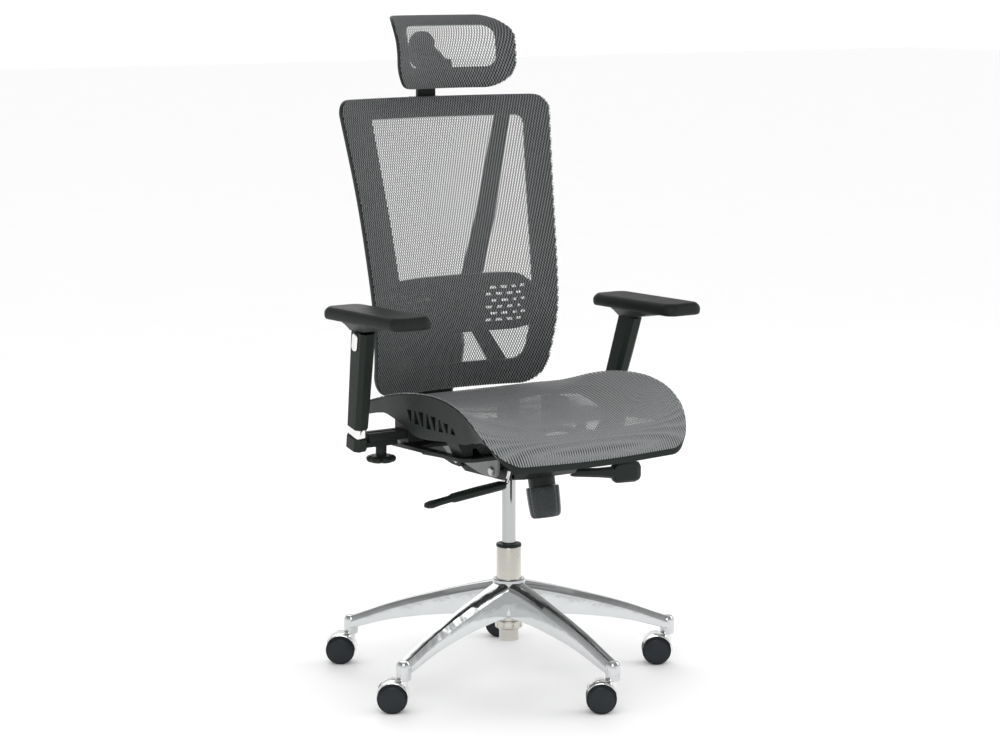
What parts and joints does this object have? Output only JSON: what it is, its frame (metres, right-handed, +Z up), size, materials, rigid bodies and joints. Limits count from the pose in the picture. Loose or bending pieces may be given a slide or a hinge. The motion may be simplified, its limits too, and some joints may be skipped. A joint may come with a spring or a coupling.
{
  "type": "office chair",
  "caption": "Ergonomic mesh office chair: reclining mesh back with lumbar plate and headrest, mesh seat, height-adjustable arms, gas lift and polished five-star caster base",
  "frame": {"origin": "on the floor, under the axis of the gas column", "axes": "+Z is up, the sitter faces -Y, and the sitter's left is +X"},
  "size_m": [0.7599, 0.7363, 1.335],
  "materials": {
    "polished_aluminium": "die-cast aluminium, polished bright with soft casting ripples",
    "satin_nickel": "steel tube with a warm satin nickel plate",
    "chrome": "mirror chrome plate",
    "black_nylon": "black moulded nylon with a fine spark texture",
    "wheel_nylon": "black nylon wheel with a satin moulded cap",
    "black_steel": "pressed steel in black powder coat",
    "grey_steel": "pressed steel in silver-grey satin paint",
    "steel": "zinc-plated steel",
    "frame_nylon": "glass-filled black nylon, satin",
    "back_nylon": "glass-filled black nylon with a moulded grain",
    "mesh_fabric": "grey elastomer mesh woven in staggered open cells",
    "arm_pad_foam": "black integral-skin polyurethane foam"
  },
  "bodies": {
    "base": {"five_star_base": "polished_aluminium", "column_tube": "satin_nickel", "column_collar": "black_nylon", "column_bottom": "satin_nickel", "gas_spring_rod": "chrome"},
    "piston": {"gas_cylinder": "chrome"},
    "mechanism": {"tilt_housing": "black_steel", "seat_pivot_pin": "steel", "recline_pivot_pin": "steel", "tension_spring": "steel"},
    "knob_tension": {"tension_knob": "black_nylon"},
    "lever_height": {"height_lever_rod": "chrome", "height_lever_paddle": "black_nylon"},
    "lever_tilt": {"tilt_lever_rod": "chrome", "tilt_lever_blade": "black_nylon"},
    "seat": {"seat_frame": "frame_nylon", "seat_mesh": "mesh_fabric", "seat_plate": "grey_steel", "arm_right_bracket": "black_steel", "arm_left_bracket": "black_steel"},
    "back": {"recline_fork": "black_steel", "back_spine": "back_nylon", "back_frame": "frame_nylon", "back_brace": "back_nylon", "back_mesh": "mesh_fabric"},
    "lumbar": {"lumbar_pad": "back_nylon"},
    "head_post": {"headrest_post": "black_nylon"},
    "headrest": {"headrest_bracket": "black_nylon", "headrest_frame": "frame_nylon", "headrest_mesh": "mesh_fabric"},
    "arm_right_slider": {"arm_right_foot": "black_nylon", "arm_right_inner_tube": "chrome"},
    "arm_right_knob": {"arm_right_hand_knob": "black_nylon"},
    "arm_right_top": {"arm_right_sleeve": "black_nylon", "arm_right_pad_base": "black_nylon", "arm_right_pad": "arm_pad_foam"},
    "arm_right_catch": {"arm_right_button": "chrome"},
    "arm_left_slider": {"arm_left_foot": "black_nylon", "arm_left_inner_tube": "chrome"},
    "arm_left_knob": {"arm_left_hand_knob": "black_nylon"},
    "arm_left_top": {"arm_left_sleeve": "black_nylon", "arm_left_pad_base": "black_nylon", "arm_left_pad": "arm_pad_foam"},
    "arm_left_catch": {"arm_left_button": "chrome"},
    "caster_1_fork": {"caster_1_hood": "chrome"},
    "caster_1_wheels": {"caster_1_wheel_far": "wheel_nylon", "caster_1_wheel_near": "wheel_nylon"},
    "caster_2_fork": {"caster_2_hood": "chrome"},
    "caster_2_wheels": {"caster_2_wheel_far": "wheel_nylon", "caster_2_wheel_near": "wheel_nylon"},
    "caster_3_fork": {"caster_3_hood": "chrome"},
    "caster_3_wheels": {"caster_3_wheel_far": "wheel_nylon", "caster_3_wheel_near": "wheel_nylon"},
    "caster_4_fork": {"caster_4_hood": "chrome"},
    "caster_4_wheels": {"caster_4_wheel_far": "wheel_nylon", "caster_4_wheel_near": "wheel_nylon"},
    "caster_5_fork": {"caster_5_hood": "chrome"},
    "caster_5_wheels": {"caster_5_wheel_far": "wheel_nylon", "caster_5_wheel_near": "wheel_nylon"}
  },
  "joints": [
    {"name": "seat_height", "type": "slide", "parent": "base", "child": "piston", "axis": [0, 0, 1], "range_m": [-0.09, 0]},
    {"name": "seat_swivel", "type": "hinge", "parent": "piston", "child": "mechanism", "pos_m": [0, 0, 0.424], "axis": [0, 0, 1], "continuous": true},
    {"name": "tension_adjust", "type": "hinge", "parent": "mechanism", "child": "knob_tension", "pos_m": [0, -0.105, 0.451], "axis": [0, 0.2164, 0.9763], "continuous": true},
    {"name": "height_release", "type": "hinge", "parent": "mechanism", "child": "lever_height", "pos_m": [0.06, -0.1, 0.434], "axis": [0, -1, 0], "range_deg": [0, 7], "stiffness_Nm_per_rad": 6, "springref_deg": -6.88},
    {"name": "tilt_lock", "type": "hinge", "parent": "mechanism", "child": "lever_tilt", "pos_m": [-0.06, -0.1, 0.452], "axis": [0, 1, 0], "range_deg": [0, 8]},
    {"name": "back_recline", "type": "hinge", "parent": "mechanism", "child": "back", "pos_m": [0, 0.082, 0.444], "axis": [-1, 0, 0], "range_deg": [0, 16], "stiffness_Nm_per_rad": 80, "springref_deg": -28.65},
    {"name": "seat_tilt", "type": "hinge", "parent": "mechanism", "child": "seat", "pos_m": [0, -0.06, 0.442], "axis": [-1, 0, 0], "range_deg": [0, 8]},
    {"name": "lumbar_height", "type": "slide", "parent": "back", "child": "lumbar", "axis": [0, 0, 1], "range_m": [-0.02, 0.02]},
    {"name": "headrest_height", "type": "slide", "parent": "back", "child": "head_post", "axis": [0, 0, 1], "range_m": [0, 0.025]},
    {"name": "headrest_tilt", "type": "hinge", "parent": "head_post", "child": "headrest", "pos_m": [0, 0.286, 1.24], "axis": [1, 0, 0], "range_deg": [-15, 20]},
    {"name": "arm_right_width", "type": "slide", "parent": "seat", "child": "arm_right_slider", "axis": [-1, 0, 0], "range_m": [-0.004, 0.02]},
    {"name": "arm_right_clamp", "type": "hinge", "parent": "arm_right_slider", "child": "arm_right_knob", "pos_m": [-0.25, 0.088, 0.492], "axis": [0, 0, 1], "continuous": true},
    {"name": "arm_right_height", "type": "slide", "parent": "arm_right_slider", "child": "arm_right_top", "axis": [-0.0909, -0.2561, 0.9624], "range_m": [-0.02, 0.045]},
    {"name": "arm_right_release", "type": "slide", "parent": "arm_right_top", "child": "arm_right_catch", "axis": [0.9958, -0.0119, 0.0909], "range_m": [0, 0.003], "stiffness_N_per_m": 400, "springref_m": -0.003},
    {"name": "arm_left_width", "type": "slide", "parent": "seat", "child": "arm_left_slider", "axis": [1, 0, 0], "range_m": [-0.004, 0.02]},
    {"name": "arm_left_clamp", "type": "hinge", "parent": "arm_left_slider", "child": "arm_left_knob", "pos_m": [0.25, 0.088, 0.492], "axis": [0, 0, 1], "continuous": true},
    {"name": "arm_left_height", "type": "slide", "parent": "arm_left_slider", "child": "arm_left_top", "axis": [0.0909, -0.2561, 0.9624], "range_m": [0, 0.065]},
    {"name": "arm_left_release", "type": "slide", "parent": "arm_left_top", "child": "arm_left_catch", "axis": [-0.9958, -0.0119, 0.0909], "range_m": [0, 0.003], "stiffness_N_per_m": 400, "springref_m": -0.003},
    {"name": "caster_1_swivel", "type": "hinge", "parent": "base", "child": "caster_1_fork", "pos_m": [0, -0.345, 0.063], "axis": [0, 0, 1], "continuous": true},
    {"name": "caster_1_roll", "type": "hinge", "parent": "caster_1_fork", "child": "caster_1_wheels", "pos_m": [-0.01784, -0.33213, 0.03], "axis": [-0.585, -0.8111, 0], "continuous": true},
    {"name": "caster_2_swivel", "type": "hinge", "parent": "base", "child": "caster_2_fork", "pos_m": [0.32811, -0.10661, 0.063], "axis": [0, 0, 1], "continuous": true},
    {"name": "caster_2_roll", "type": "hinge", "parent": "caster_2_fork", "child": "caster_2_wheels", "pos_m": [0.31027, -0.09374, 0.03], "axis": [-0.585, -0.8111, 0], "continuous": true},
    {"name": "caster_3_swivel", "type": "hinge", "parent": "base", "child": "caster_3_fork", "pos_m": [0.20279, 0.27911, 0.063], "axis": [0, 0, 1], "continuous": true},
    {"name": "caster_3_roll", "type": "hinge", "parent": "caster_3_fork", "child": "caster_3_wheels", "pos_m": [0.18494, 0.29198, 0.03], "axis": [-0.585, -0.8111, 0], "continuous": true},
    {"name": "caster_4_swivel", "type": "hinge", "parent": "base", "child": "caster_4_fork", "pos_m": [-0.20279, 0.27911, 0.063], "axis": [0, 0, 1], "continuous": true},
    {"name": "caster_4_roll", "type": "hinge", "parent": "caster_4_fork", "child": "caster_4_wheels", "pos_m": [-0.22063, 0.29198, 0.03], "axis": [-0.585, -0.8111, 0], "continuous": true},
    {"name": "caster_5_swivel", "type": "hinge", "parent": "base", "child": "caster_5_fork", "pos_m": [-0.32811, -0.10661, 0.063], "axis": [0, 0, 1], "continuous": true},
    {"name": "caster_5_roll", "type": "hinge", "parent": "caster_5_fork", "child": "caster_5_wheels", "pos_m": [-0.34596, -0.09374, 0.03], "axis": [-0.585, -0.8111, 0], "continuous": true}
  ],
  "couplings": [
    {"joint": "seat_tilt", "follows": "back_recline", "ratio": 0.5}
  ]
}
